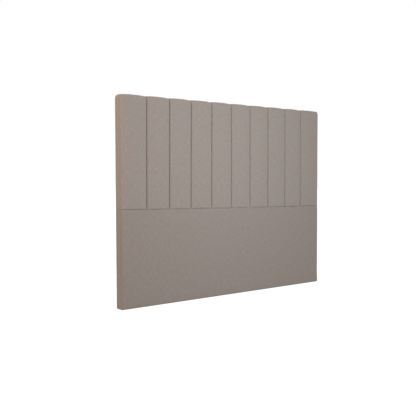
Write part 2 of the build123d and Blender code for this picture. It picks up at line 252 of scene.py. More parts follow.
def sawn_timber(name, early, late, along, ring):
    """Planed softwood or hardwood: growth rings drawn out along the grain, satin."""
    material, tree, shader = new_material(name, Roughness=0.55)
    place = add_node(tree, "ShaderNodeTexCoord").outputs["Object"]
    # a drift about 12 mm wide across the grain, folded nine times, gives rings 2 to 6 mm apart
    stretch = add_node(tree, "ShaderNodeMapping", {"Vector": place, "Scale": along})
    drift = add_node(tree, "ShaderNodeTexNoise", {
        "Vector": stretch.outputs["Vector"], "Scale": ring, "Detail": 5.0, "Roughness": 0.6,
        "Distortion": 0.8})
    rings = add_node(tree, "ShaderNodeMath", {
        0: drift.outputs["Fac"], 1: 9.0}, operation="MULTIPLY")
    grain = add_node(tree, "ShaderNodeMath", {0: rings.outputs[0], 1: 1.0}, operation="PINGPONG")
    tint = add_node(tree, "ShaderNodeMix", {
        "Factor": grain.outputs[0], "A": colour(early), "B": colour(late)}, data_type="RGBA")
    tree.links.new(tint.outputs["Result"], shader.inputs["Base Color"])
    return material


def pressed_board(name, dark, light, chip):
    """Board pressed from wood fibre or glued plies: flecks about as wide as its chips."""
    material, tree, shader = new_material(name, Roughness=0.6)
    place = add_node(tree, "ShaderNodeTexCoord").outputs["Object"]
    flecks = add_node(tree, "ShaderNodeTexNoise", {
        "Vector": place, "Scale": 1 / chip, "Detail": 4.0, "Roughness": 0.7})
    tint = add_node(tree, "ShaderNodeMix", {
        "Factor": flecks.outputs["Fac"], "A": colour(dark), "B": colour(light)}, data_type="RGBA")
    tree.links.new(tint.outputs["Result"], shader.inputs["Base Color"])
    return material


def spunbond_cloth():
    """Spunbonded polypropylene dust cloth: near black, with a grid of heat-bonded dots."""
    material, tree, shader = new_material("spunbonded_polypropylene", Roughness=0.75)
    shader.inputs["Sheen Weight"].default_value = 0.15
    place = add_node(tree, "ShaderNodeTexCoord").outputs["Object"]
    # the bonded dots are 1 mm apart; they are drawn 5 mm apart
    dots = add_node(tree, "ShaderNodeTexVoronoi", {
        "Vector": place, "Scale": 200.0, "Randomness": 0.0})
    fibres = add_node(tree, "ShaderNodeTexNoise", {
        "Vector": place, "Scale": 90.0, "Detail": 5.0, "Roughness": 0.7})
    web = add_node(tree, "ShaderNodeMath", {
        0: dots.outputs["Distance"], 1: fibres.outputs["Fac"]}, operation="MULTIPLY")
    tint = add_node(tree, "ShaderNodeMix", {
        "Factor": web.outputs[0], "A": colour("#141415"), "B": colour("#3c3c3f")},
        data_type="RGBA")
    bump = add_node(tree, "ShaderNodeBump", {
        "Height": web.outputs[0], "Strength": 0.4, "Distance": 0.0008})
    tree.links.new(tint.outputs["Result"], shader.inputs["Base Color"])
    tree.links.new(bump.outputs["Normal"], shader.inputs["Normal"])
    return material


def zinc_steel(name, roughness):
    """Zinc-plated steel: bluish bright metal with faint spangle and handling marks."""
    material, tree, shader = new_material(name, Metallic=1.0, Roughness=roughness)
    place = add_node(tree, "ShaderNodeTexCoord").outputs["Object"]
    # crystals of the zinc are about 4 mm wide
    spangle = add_node(tree, "ShaderNodeTexNoise", {
        "Vector": place, "Scale": 260.0, "Detail": 3.0, "Roughness": 0.6})
    tint = add_node(tree, "ShaderNodeMix", {
        "Factor": spangle.outputs["Fac"], "A": colour("#a9adb2"), "B": colour("#d5d8db")},
        data_type="RGBA")
    bump = add_node(tree, "ShaderNodeBump", {
        "Height": spangle.outputs["Fac"], "Strength": 0.1, "Distance": 0.0003})
    tree.links.new(tint.outputs["Result"], shader.inputs["Base Color"])
    tree.links.new(bump.outputs["Normal"], shader.inputs["Normal"])
    return material


def studio_paper():
    """Seamless white studio paper, lit from below as on a light table, so it keeps no shadow."""
    material, tree, shader = new_material("backlit_studio_paper", Roughness=1.0)
    place = add_node(tree, "ShaderNodeTexCoord").outputs["Object"]
    tooth = add_node(tree, "ShaderNodeTexNoise", {"Vector": place, "Scale": 4.0, "Detail": 2.0})
    tint = add_node(tree, "ShaderNodeMix", {
        "Factor": tooth.outputs["Fac"], "A": colour("#585858"), "B": colour("#5c5c5b")},
        data_type="RGBA")
    tree.links.new(tint.outputs["Result"], shader.inputs["Base Color"])
    shader.inputs["Emission Color"].default_value = colour("#ffffff")
    shader.inputs["Emission Strength"].default_value = 0.95
    return material


class Shell:
    """Points, cloth map and faces of a piece that is put together from grids."""

    def __init__(self):
        self.points, self.maps, self.faces, self.count = [], [], [], 0

    def grid(self, x, y, z, u=0.0, v=0.0, ring=False, capped=False):
        """Adds a grid of points; a ring closes each row on itself, and caps close its two ends."""
        x, y, z, u, v = np.broadcast_arrays(x, y, z, u, v)
        rows, columns = x.shape
        start = self.count
        self.points.append(np.dstack([x, y, z]).reshape(-1, 3))
        self.maps.append(np.dstack([u, v]).reshape(-1, 2))
        self.faces += [
            (start + r * columns + c, start + r * columns + (c + 1) % columns,
             start + (r + 1) * columns + (c + 1) % columns, start + (r + 1) * columns + c)
            for r in range(rows - 1) for c in range(columns if ring else columns - 1)
        ]
        self.count += x.size
        if capped:
            self.faces.append(tuple(range(start, start + columns)))
            self.faces.append(tuple(range(self.count - columns, self.count)))

    def both_sides(self, x, y, z, u, v):
        """Adds a grid and its mirror image."""
        self.grid(x, y, z, u, v)
        self.grid(-x, y, z, -u, v)


def hand_sewn(points):
    """Moves points as the sewing strays: a seam that drops to the right, and leaning creases."""
    x, z = points[:, 0].copy(), points[:, 2].copy()
    side = x / HALF_WIDTH
    strayed = SEAM_SAG * (1 - 0.75 * side**2) + SEAM_DROP * side
    points[:, 2] += strayed * np.exp(-((z - SEAM) / SEAM_SPREAD) ** 2)
    rise = np.clip((z - SEAM) / (TOP - SEAM), 0, 1) - 0.5
    points[:, 0] += CREASE_LEAN * np.maximum(-side, 0) * (1 - side**2) * rise * (z > SEAM)
    return points


def finished_piece(name, shell, material, sewn=False, smooth=True):
    """Turns a shell into an object with merged edges, outward faces, its cloth map and material."""
    points = np.concatenate(shell.points)
    mesh = bpy.data.meshes.new(name)
    mesh.from_pydata((hand_sewn(points) if sewn else points).tolist(), [], shell.faces)
    corners = np.empty(len(mesh.loops), dtype=np.int32)
    mesh.loops.foreach_get("vertex_index", corners)
    layer = mesh.uv_layers.new(name="weave")
    layer.data.foreach_set("uv", np.concatenate(shell.maps)[corners].ravel())
    shape = bmesh.new()
    shape.from_mesh(mesh)
    bmesh.ops.remove_doubles(shape, verts=shape.verts, dist=0.02 * MM)
    bmesh.ops.dissolve_degenerate(shape, edges=shape.edges, dist=0.01 * MM)
    bmesh.ops.recalc_face_normals(shape, faces=shape.faces)
    for face in shape.faces:
        face.smooth = smooth
    shape.to_mesh(mesh)
    shape.free()
    mesh.materials.append(material)
    piece = bpy.data.objects.new(name, mesh)
    bpy.context.scene.collection.objects.link(piece)
    return piece


def by_field(rows):
    """Rows turned into one upright array for each of their fields."""
    return Row(*(np.array(field, dtype=float)[:, None] for field in zip(*rows)))


def lip(steps):
    """Heights off the seam and depths of the rounded lip, from the crease outwards."""
    radius = (LIP_HEIGHT**2 + LIP_DEPTH**2) / (2 * LIP_DEPTH)
    turns = [asin(LIP_HEIGHT / radius) * (1 - k / steps) for k in range(steps + 1)]
    return [(LIP_HEIGHT - radius * sin(a) + 0.25 * MM, radius * (1 - cos(a))) for a in turns]


def rows_upper():
    """Side-view path of the upper cover, from the seam up and over the top to the back edge."""
    front = Row(BOARD_FACE, SEAM, -1, 0, TOP_REACH, SIDE_ROUND, 1, 1, 0)
    rows = [front._replace(z=SEAM + SEAM_GAP, lip=TOP_REACH)]
    rows += [front._replace(z=SEAM + z, lip=depth) for z, depth in lip(LIP_STEPS)]
    rows += [front._replace(z=z) for z in np.linspace(SEAM + LIP_HEIGHT, TOP_AXIS, 68)[1:-1]]
    for turn in np.linspace(0, pi / 2, 15):
        share = 2 * turn / pi
        rows.append(front._replace(
            z=TOP_AXIS, out_y=-cos(turn), out_z=sin(turn), channels=1 - TOP_FADE * share,
            round_off=SIDE_ROUND + (TOP_ROUND - SIDE_ROUND) * share, tucks=max(1 - 5 * share, 0)))
    for share in np.linspace(0, 1, OVER_TOP_ROWS + 1)[1:]:
        rows.append(Row(BOARD_FACE + (BACK - BACK_ROUND - BOARD_FACE) * share, TOP_AXIS, 0, 1,
                        TOP_REACH, TOP_ROUND, 1 - TOP_FADE - BACK_FADE * share, 0, 0))
    return rows


def rows_lower():
    """Side-view path of the lower cover, from its back edge under the base and up to the seam."""
    base = Row(BACK, FLOOR_ROUND, 0, -1, FLOOR_ROUND, FOOT_ROUND, 0, 0, 0)
    axis_y = FRONT + FLOOR_ROUND
    rows = [base._replace(y=y) for y in np.linspace(BACK - BACK_ROUND, BOARD_FACE, BEHIND_ROWS + 1)]
    rows += [base._replace(y=y) for y in np.linspace(BOARD_FACE, axis_y, 4)[1:]]
    for turn in np.linspace(0, pi / 2, 9)[1:]:
        rows.append(base._replace(y=axis_y, out_y=-sin(turn), out_z=-cos(turn),
                                  round_off=FOOT_ROUND + 3 * MM * turn))
    rows[-1] = rows[-1]._replace(out_y=-1, out_z=0)
    foot = rows[-1]
    for z in np.linspace(FLOOR_ROUND, SEAM - LIP_HEIGHT, 57)[1:-1]:
        rise = min((z - FLOOR_ROUND) / FOOT_BLEND, 1)
        reach = FLOOR_ROUND + FOOT_REACH * rise
        rows.append(foot._replace(y=FRONT + reach, z=z, reach=reach,
                                  round_off=foot.round_off + (SIDE_ROUND - foot.round_off) * rise))
    rows += [rows[-1]._replace(z=SEAM - z, lip=depth) for z, depth in reversed(lip(LIP_STEPS))]
    rows.append(rows[-1]._replace(z=SEAM - SEAM_GAP, lip=TOP_REACH))
    return rows


def channel(k, inset=0.0):
    """Places across channel k and their depths, or those of a pad that is inset under it."""
    radius = (SHOULDER**2 + (VALLEY - CROWN)**2) / (2 * (VALLEY - CROWN))
    crown_left = EDGES[k] + (SIDE_ROUND if k == 0 else SHOULDER)
    crown_right = EDGES[k + 1] - (SIDE_ROUND if k == CHANNELS - 1 else SHOULDER)
    spread = np.linspace(-1, 1, 15)
    steepest = asin((SHOULDER - MOUTH - inset) / (radius - inset))
    turns = np.linspace(steepest, 0, 7)[:-1]
    run = (radius - inset) * np.sin(turns)
    fall = CROWN + radius - (radius - inset) * np.cos(turns)
    places = [(crown_left + crown_right) / 2 + (crown_right - crown_left) / 2 * spread]
    depths = [inset + CROWN * np.abs(spread) ** 2.6]
    if k > 0:
        places.insert(0, crown_left - run)
        depths.insert(0, fall)
    if k < CHANNELS - 1:
        places.append((crown_right + run)[::-1])
        depths.append(fall[::-1])
    return np.concatenate(places), np.concatenate(depths)


def all_channels(inset=0.0):
    """The channels side by side; a cover also has the tuck that is sewn in between them."""
    places, depths = channel(0, inset)
    for k in range(1, CHANNELS):
        if inset == 0:
            half = np.array([-0.8, -0.5, -0.32, 0, 0.32, 0.5, 0.8]) * MOUTH
            sunk = VALLEY + TUCK * np.array([0.2, 0.6, 0.92, 1, 0.92, 0.6, 0.2])
        else:
            half, sunk = 0, inset + VALLEY
        places, depths = np.append(places, EDGES[k] + half), np.append(depths, sunk)
        more_places, more_depths = channel(k, inset)
        places, depths = np.append(places, more_places), np.append(depths, more_depths)
    return places, depths


def plain_face(inset=0.0):
    """Places across the lower cover, whose face is plain."""
    places = np.linspace(-HALF_WIDTH + SIDE_ROUND, HALF_WIDTH - SIDE_ROUND, 121)
    return places, inset + 0 * places


def ripple(x, z, seed):
    """Slow unevenness of a hand-pulled cover, in metres, mostly under half a millimetre."""
    phases = np.random.default_rng(seed).uniform(0, 2 * pi, 12)
    total = 0
    for k in range(6):
        along = np.sin((5 + 4.3 * k) * x + phases[k] + 1.7 * np.sin(3.1 * z + phases[k + 6]))
        total = total + along * np.sin((6 + 5.1 * k) * z + phases[k + 6]) / (1.5 + k)
    return 0.45 * MM * total


def side_groove(row):
    """How far the side walls dip beside the seam, and turn in at the seam itself."""
    turned_in = row.lip > 1.5 * LIP_DEPTH
    return SIDE_GROOVE * np.clip(row.lip / LIP_DEPTH, 0, 1) + SIDE_TURN_IN * turned_in


def face_points(rows, profile, seed, inset=0.0, left=True, right=True):
    """X, Y, Z and depth of a cover's face and rounded sides, or of a pad inset under it."""
    places, depths = profile
    row = by_field(rows)
    height = row.z + row.out_z * row.reach
    shallow = np.minimum(depths - inset, VALLEY)
    sunk = row.channels * (shallow + row.tucks * (depths - inset - shallow))
    plain = np.ptp(depths) == 0
    slump = plain * SLUMP * np.exp(-np.abs(height - SEAM) / SLUMP_SPREAD)
    uneven = 0.3 * MM + slump - ripple(places, height, seed)
    on_front = (row.out_y < -0.2) * np.clip(1 - row.lip / LIP_DEPTH, 0, 1)
    depth = inset + np.cbrt(np.maximum(sunk, 0)**3 + row.lip**3) + on_front * uneven
    depth = np.minimum(depth, TOP_REACH - SEAT_GAP - FABRIC)
    turn = np.linspace(0, pi / 2, 10)[1:]
    rim = inset + (row.round_off - inset) * (1 - np.cos(turn))
    rim_x = HALF_WIDTH - side_groove(row) - row.round_off + (row.round_off - inset) * np.sin(turn)
    kept = HALF_WIDTH - END_FIELD
    past = np.maximum(np.abs(places) - kept, 0)
    squeezed = past * (row.round_off - SIDE_ROUND) / (END_FIELD - SIDE_ROUND)
    parts_x, parts_depth = [places - np.sign(places) * np.maximum(squeezed, 0)], [depth]
    if left:
        parts_x.insert(0, -rim_x[:, ::-1])
        parts_depth.insert(0, ((depth[:, :1] - inset) * np.cos(turn)**2 + rim)[:, ::-1])
    if right:
        parts_x.append(rim_x)
        parts_depth.append((depth[:, -1:] - inset) * np.cos(turn)**2 + rim)
    x, depth = np.hstack(parts_x), np.hstack(parts_depth)
    out = row.reach - depth
    return x, row.y + row.out_y * out, row.z + row.out_z * out, depth


def fill_right_corner(piece):
    """Draws the top right corner out to a tight rounding; the left one stays soft."""
    mesh = piece.data
    places = np.empty(len(mesh.vertices) * 3)
    mesh.vertices.foreach_get("co", places)
    places = places.reshape(-1, 3)
    off_x = np.maximum(places[:, 0] - HALF_WIDTH + TOP_ROUND, 0)
    off_z = np.maximum(places[:, 2] - TOP + TOP_ROUND, 0)
    away, turn = np.hypot(off_x, off_z), np.arctan2(off_z, off_x)
    across, up = np.cos(turn), np.sin(turn)
    straight = TOP_ROUND - RIGHT_ROUND
    on_arc = np.sqrt(np.maximum(RIGHT_ROUND**2 - (straight * (across - up))**2, 0))
    on_arc += straight * (across + up)
    on_side = TOP_ROUND / np.maximum(across, up)
    edge = np.where(on_arc * np.minimum(across, up) > straight, on_arc, on_side)
    stretch = (edge / TOP_ROUND - 1) * np.minimum(away / TOP_ROUND, 1)**2
    places[:, 0] += off_x * stretch
    places[:, 2] += off_z * stretch
    mesh.vertices.foreach_set("co", places.ravel())
    mesh.update()


def free_share(points, held_lines):
    """How freely points may move: 0 at the creases, seam and sides, 1 on the open face."""
    x, y, z = points.T
    off_line = np.abs(x[:, None] - np.array(held_lines)).min(axis=1)
    free = np.clip((off_line - 0.8 * SHOULDER) / SHOULDER, 0, 1)
    free *= np.clip((np.abs(z - SEAM) - 2 * LIP_HEIGHT) / (2 * LIP_HEIGHT), 0, 1)
    return free * np.clip((FRONT + 6 * MM - y) / (3 * MM), 0, 1)


def settle(skin, held_lines, pressure):
    """Cloth simulation: the face swells a little between its held creases, seam and edges."""
    mesh = skin.data
    start = np.empty(len(mesh.vertices) * 3)
    mesh.vertices.foreach_get("co", start)
    start = start.reshape(-1, 3)
    held = skin.vertex_groups.new(name="held")
    for index, share in enumerate(free_share(start, held_lines).tolist()):
        held.add([index], 1 - share, "REPLACE")
    cloth = skin.modifiers.new("settling", "CLOTH")
    cloth.settings.quality = 5
    cloth.settings.mass = 0.3
    cloth.settings.tension_stiffness = 15
    cloth.settings.compression_stiffness = 15
    cloth.settings.shear_stiffness = 5
    cloth.settings.bending_stiffness = 0.5
    cloth.settings.use_pressure = True
    cloth.settings.uniform_pressure_force = pressure
    cloth.settings.effector_weights.gravity = 0
    cloth.settings.vertex_group_mass = held.name
    cloth.collision_settings.use_collision = False
    cloth.point_cache.frame_end = SETTLING_FRAMES
    for frame_number in range(1, SETTLING_FRAMES + 1):
        bpy.context.scene.frame_set(frame_number)
    settled = skin.evaluated_get(bpy.context.evaluated_depsgraph_get())
    moved = np.empty(start.size)
    settled.data.vertices.foreach_get("co", moved)
    moved = moved.reshape(-1, 3) - start
    moved = SWELL * np.tanh(moved / SWELL)
    moved[:, 1] = np.minimum(moved[:, 1], 0)
    mesh.vertices.foreach_set("co", (start + moved).ravel())
    mesh.update()
    skin.modifiers.remove(cloth)
    skin.vertex_groups.remove(held)
    bpy.context.scene.frame_set(1)


def back_border(shell, outline, outwards, upward):
    """Adds the rounded back edge along an outline, and the flap that is folded over the frame."""
    turn = np.linspace(0, pi / 2, 6)[:, None]
    rounded = outline - BACK_ROUND * (1 - np.cos(turn))[..., None] * outwards
    limit = HALF_WIDTH - BORDER
    if upward > 0:
        level = np.minimum(outline[:, 1], TOP - BORDER)
    else:
        level = np.maximum(outline[:, 1], BORDER)
    inner = np.column_stack([np.clip(outline[:, 0], -limit, limit), level])
    inwards = np.linspace(0, 1, 5)[1:, None, None]
    flap = rounded[-1] * (1 - inwards) + inner * inwards
    x, z = np.moveaxis(np.concatenate([rounded, flap]), 2, 0)
    y = np.append(BACK - BACK_ROUND * (1 - np.sin(turn)), BACK + 0 * inwards)[:, None]
    shell.grid(x, y, z, x, z)


def cover(name, rows, profile, held_lines, pressure, material, seed):
    """A cover's outside, of face, rounded sides, side walls and back border, with its thickness."""
    row = by_field(rows)
    shell = Shell()
    x, y, z, depth = face_points(rows, profile, seed)
    path_y, path_z = row.y + row.out_y * row.reach, row.z + row.out_z * row.reach
    steps = np.hypot(np.diff(path_y, axis=0), np.diff(path_z, axis=0))
    path = np.concatenate([[[0]], np.cumsum(steps, axis=0)])
    round_the_side = np.maximum(depth - 3 * MM, 0) * (np.abs(x) > HALF_WIDTH - SIDE_ROUND)
    shell.grid(x, y, z, x + np.sign(x) * round_the_side, path)
    out = (row.reach - row.round_off) * (1 - np.linspace(0, 1, 4))
    side_x = HALF_WIDTH - side_groove(row)
    shell.both_sides(side_x + 0 * out, row.y + row.out_y * out, row.z + row.out_z * out,
                     HALF_WIDTH + row.reach - out, path)
    upright = [k for k, r in enumerate(rows) if r.out_y == -1]
    y, z = row.y[upright], row.z[upright]
    wall_y = y + (BACK - BACK_ROUND - y) * np.linspace(0, 1, 11)
    shell.both_sides(side_x[upright] + 0 * wall_y, wall_y, z,
                     HALF_WIDTH + wall_y - FRONT, path[upright])

    # the outline starts at the seam's left end, and goes away from the seam and across
    upward = 1 if rows[-1].out_z == 1 else -1
    edge = -1 if upward == 1 else 0
    x, _, across_z, _ = face_points(rows[edge:][:1], profile, seed)
    side = np.column_stack([side_x[upright], z])[::upward]
    rise = np.column_stack([side_x[edge] + 0 * out[edge], row.z[edge] + upward * out[edge]])[::-1]
    left = np.concatenate([side, rise[1:-1]]) * [-1, 1]
    across = np.column_stack([x[0], across_z[0]])
    outline = np.concatenate([left, across, left[::-1] * [-1, 1]])
    turn = np.linspace(0, pi / 2, 10)[1:]
    level = np.concatenate([-turn[::-1], np.zeros(len(profile[0])), turn])
    outwards = np.column_stack([np.sin(level), upward * np.cos(level)])
    sideways = np.tile([1.0, 0.0], (len(left), 1))
    back_border(shell, outline, np.concatenate([-sideways, outwards, sideways]), upward)
    skin = finished_piece(name, shell, material, sewn=True)
    if upward == 1:
        fill_right_corner(skin)
    settle(skin, held_lines, pressure)
    thickness = skin.modifiers.new("fabric_thickness", "SOLIDIFY")
    thickness.thickness = FABRIC
    thickness.offset = -1
    return skin


def pad_rows(rows, side):
    """A cover's rows without its turned-in edge, drawn back from the seam by cloth and gap."""
    return [r._replace(z=r.z + side * UNDER * min(r.lip / LIP_DEPTH, 1)) for r in rows
            if r.lip < TOP_REACH]


def pad(name, rows, profile, base_y, base_z, material, seed, sides=(True, True)):
    """Closed pad between a cover and the line base_y, base_z behind each of its rows."""
    x, y, z, _ = face_points(rows, profile, seed, UNDER, *sides)
    row = by_field(rows)
    base_y = row.y if base_y is None else base_y + 0 * row.y
    if base_z is None:
        base_z = row.z
    else:
        base_z = base_z + 0 * row.z
        buried = z < base_z + SEAT_GAP
        reach = np.abs(np.where(buried, 0, x)).max(axis=1, keepdims=True)
        x, z = np.clip(x, -reach, reach), np.maximum(z, base_z + SEAT_GAP)
    shell = Shell()
    shell.grid(np.hstack([x[:, :1], x, x[:, -1:]]), np.hstack([base_y, y, base_y]),
               np.hstack([base_z, z, base_z]), ring=True, capped=True)
    return finished_piece(name, shell, material, sewn=True)


def side_batting(name, side, material):
    """Batting over one stile, grooved where the covers' edges turn in."""
    low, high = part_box("wadding_right")
    to_seam = np.array([1.5, 2.2, 4, 7, LIP_HEIGHT / MM, 16]) * MM
    z = np.concatenate([np.linspace(low.z, high.z, 60), SEAM - to_seam, SEAM + to_seam])
    z = np.sort(z)[:, None]
    off = np.abs(z - SEAM)
    dent = SIDE_GROOVE * np.clip(1 - off / LIP_HEIGHT, 0, 1) + (SIDE_TURN_IN - MM) * (off < 2 * MM)
    end = 4 * MM * np.clip(1 - np.minimum(z - low.z, high.z - z) / (6 * MM), 0, 1) ** 2
    turn = np.linspace(0, pi / 2, 5)
    soft = 2 * MM
    outer = HALF_WIDTH - UNDER - np.maximum(dent, end)
    x = np.hstack([FRAME_SIDE + SEAT_GAP + 0 * z, outer - soft + soft * np.sin(turn),
                   outer - soft + soft * np.cos(turn), FRAME_SIDE + SEAT_GAP + 0 * z])
    y = np.concatenate([[low.y], low.y + soft * (1 - np.cos(turn)),
                        high.y - soft * (1 - np.sin(turn)), [high.y]])
    shell = Shell()
    shell.grid(side * x, y[None], z, ring=True, capped=True)
    return finished_piece(name, shell, material, sewn=True)


def pull_in_tapes(name, material):
    """One folded tape in each crease, its fold at the tuck and its two edges on the board."""
    reach = TOP_REACH - VALLEY - TUCK - UNDER - MM
    half, layer = 0.8 * MM, 0.7 * MM
    across = np.array([-1, -1, -0.7, 0, 0.7, 1, 1]) * half
    rounded = reach - 0.3 * half
    out = np.array([0, reach - half, rounded, reach, rounded, reach - half, 0])
    inner = np.array([1, 1, 0, -1, -1]) * (half - layer)
    inner_out = np.array([0, reach - half, reach - layer, reach - half, 0])
    across, out = np.append(across, inner), np.append(out, inner_out)
    turns = np.linspace(0, pi / 2, 10)[:, None]
    upright = np.linspace(SEAM + 2 * UNDER, TOP_AXIS, 30)[:-1, None]
    y = np.concatenate([BOARD_FACE - out + 0 * upright, BOARD_FACE - np.cos(turns) * out])
    z = np.concatenate([upright + 0 * out, TOP_AXIS + np.sin(turns) * out])
    shell = Shell()
    for crease in EDGES[1:-1]:
        shell.grid(crease + across[None], y - SEAT_GAP, z, ring=True, capped=True)
    return finished_piece(name, shell, material, sewn=True)


def stretched_dust_cloth(name, material):
    """Dust cloth with its hem folded under, hanging a little slack inside the covers' borders."""
    low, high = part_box("dust_cover")
    thickness = (high.y - low.y) / 2
    ins = np.array([HEM, 2 * MM, 0, 2 * MM, 8 * MM, 16 * MM, 30 * MM])

    def spaced(start, end, count):
        middle = np.linspace(start + ins[-1], end - ins[-1], count)[1:-1]
        return np.concatenate([start + ins, middle, end - ins[::-1]])

    def under(count):
        """1 on the hem that is folded under, half on the fold, 0 on the cloth itself."""
        hem = np.zeros(count)
        hem[:3], hem[-3:] = (1, 1, 0.5), (0.5, 1, 1)
        return hem

    x, z = spaced(low.x, high.x, 130)[None], spaced(low.z, high.z, 96)[:, None]
    folded = np.maximum(under(x.shape[1])[None], under(z.shape[0])[:, None])
    hang_x = np.clip((HALF_WIDTH - BORDER - np.abs(x)) / SLACK_IN, 0, 1)
    hang_z = np.clip((TOP / 2 - BORDER - np.abs(z - TOP / 2)) / SLACK_IN, 0, 1)
    free = np.sin(hang_x * pi / 2) * np.sin(hang_z * pi / 2)
    edge = np.minimum(HALF_WIDTH - np.abs(x), TOP / 2 - np.abs(z - TOP / 2))
    pulls = np.sin((x + 0.35 * z) * 2 * pi / STAPLE_SPACING) * np.sin(z * 41 + 2 * np.sin(7 * x))
    slack = 1.4 + 0.5 * np.sin(5 * x + 3 * z) + 0.7 * np.sin(11 * x - 4 * z) * np.sin(9 * z)
    sag = free * (slack + 0.5 * pulls * np.exp(-edge / (160 * MM))) * MM
    for timber in ("middle_rail", "stud_upper_left", "stud_upper_right",
                   "stud_lower_left", "stud_lower_right"):
        near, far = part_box(timber)
        beside = np.maximum(np.maximum(near.x - x, x - far.x), np.maximum(near.z - z, z - far.z))
        sag = np.minimum(sag, MM + 0.02 * np.maximum(beside, 0))
    y = high.y - 0.05 * MM - folded * (2 * thickness - 0.07 * MM) - sag
    shell = Shell()
    shell.grid(x + 0 * y, y, z + 0 * y, x + 0 * y, z + 0 * y)
    cloth = finished_piece(name, shell, material)
    layer = cloth.modifiers.new("cloth_thickness", "SOLIDIFY")
    layer.thickness = thickness - 0.08 * MM
    layer.offset = 1 if cloth.data.polygons[len(cloth.data.polygons) // 2].normal.y < 0 else -1
    return cloth


def node_tree(name, **inputs):
    """Geometry node tree that takes a mesh and named numbers, with its group input node."""
    tree = bpy.data.node_groups.new(name, "GeometryNodeTree")
    tree.interface.new_socket("Geometry", in_out="INPUT", socket_type="NodeSocketGeometry")
    for label, value in inputs.items():
        kind = "NodeSocketInt" if isinstance(value, int) else "NodeSocketFloat"
        socket = tree.interface.new_socket(label, in_out="INPUT", socket_type=kind)
        socket.default_value = value
    tree.interface.new_socket("Geometry", in_out="OUTPUT", socket_type="NodeSocketGeometry")
    return tree, add_node(tree, "NodeGroupInput").outputs


def end_tree(tree, instances, material):
    """Makes the instances real, gives them their material and hands them out."""
    real = add_node(tree, "GeometryNodeRealizeInstances", {"Geometry": instances})
    coated = add_node(tree, "GeometryNodeSetMaterial", {
        "Geometry": real.outputs["Geometry"], "Material": material})
    add_node(tree, "NodeGroupOutput", {"Geometry": coated.outputs["Geometry"]})


def grown(name, points, edges, tree, **values):
    """Runs a tree on a few points or edges, and keeps the result as a plain mesh."""
    seeds = bpy.data.meshes.new(name + "_places")
    seeds.from_pydata(points, edges, [])
    start = bpy.data.objects.new(name + "_places", seeds)
    bpy.context.scene.collection.objects.link(start)
    nodes = start.modifiers.new("nodes", "NODES")
    nodes.node_group = tree
    for item in tree.interface.items_tree:
        if item.in_out == "INPUT" and item.name in values:
            nodes[item.identifier] = values[item.name]
    bpy.context.view_layer.update()
    evaluated = start.evaluated_get(bpy.context.evaluated_depsgraph_get())
    mesh = bpy.data.meshes.new_from_object(evaluated)
    start.modifiers.remove(nodes)
    bpy.data.objects.remove(start)
    mesh.name = name
    piece = bpy.data.objects.new(name, mesh)
    bpy.context.scene.collection.objects.link(piece)
    return piece


def staples(name, material):
    """Wire staples through the dust cloth's hem, each a crown and two legs."""
    sizes = {"spacing": STAPLE_SPACING, "crown": 10 * MM, "wire": MM, "leg": 8 * MM, "seed": 4}
    tree, given = node_tree("staples_along_hem", **sizes)
    path = add_node(tree, "GeometryNodeMeshToCurve", {"Mesh": given["Geometry"]})
    places = add_node(tree, "GeometryNodeResampleCurve", {
        "Curve": path.outputs["Curve"], "Length": given["spacing"]}, mode="LENGTH")
    half = add_node(tree, "ShaderNodeMath", {0: given["wire"], 1: 0.5}, operation="MULTIPLY")
    crown = add_node(tree, "GeometryNodeMeshCylinder", {
        "Vertices": 8, "Radius": half.outputs[0], "Depth": given["crown"]})
    leg = add_node(tree, "GeometryNodeMeshCylinder", {
        "Vertices": 6, "Radius": half.outputs[0], "Depth": given["leg"]})
    level = add_node(tree, "GeometryNodeTransform", {
        "Geometry": crown.outputs["Mesh"], "Rotation": (0, pi / 2, 0), "Scale": (1, 1, 0.7)})
    pieces = [level.outputs["Geometry"]]
    drop = add_node(tree, "ShaderNodeMath", {0: given["leg"], 1: -0.5}, operation="MULTIPLY")
    for side in (-0.5, 0.5):
        off = add_node(tree, "ShaderNodeMath", {
            0: given["crown"], 1: side * 0.92}, operation="MULTIPLY")
        place = add_node(tree, "ShaderNodeCombineXYZ", {"X": off.outputs[0], "Z": drop.outputs[0]})
        moved = add_node(tree, "GeometryNodeTransform", {
            "Geometry": leg.outputs["Mesh"], "Translation": place.outputs["Vector"]})
        pieces.append(moved.outputs["Geometry"])
    staple = add_node(tree, "GeometryNodeJoinGeometry")
    for part in pieces:
        tree.links.new(part, staple.inputs["Geometry"])
    tangent = add_node(tree, "GeometryNodeInputTangent")
    jitter = add_node(tree, "FunctionNodeRandomValue", {
        "Min": (0, 0, -0.12), "Max": (0, 0, 0.12), "Seed": given["seed"]}, data_type="FLOAT_VECTOR")
    along = add_node(tree, "FunctionNodeAlignRotationToVector", {
        "Vector": tangent.outputs["Tangent"]}, axis="X", pivot_axis="Z")
    turned = add_node(tree, "FunctionNodeRotateRotation", {
        "Rotation": along.outputs["Rotation"], "Rotate By": jitter.outputs["Value"]},
        rotation_space="LOCAL")
    set_out = add_node(tree, "GeometryNodeInstanceOnPoints", {
        "Points": places.outputs["Curve"], "Instance": staple.outputs["Geometry"],
        "Rotation": turned.outputs["Rotation"]})
    end_tree(tree, set_out.outputs["Instances"], material)
    low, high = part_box("dust_cover")
    x, z = high.x - HEM / 2, high.z - HEM / 2
    corners = [(-x, HEM / 2 + low.z, 0), (x, HEM / 2 + low.z, 0), (x, z, 0), (-x, z, 0)]
    return grown(name, corners, [(0, 1), (1, 2), (2, 3), (3, 0)], tree, **sizes)


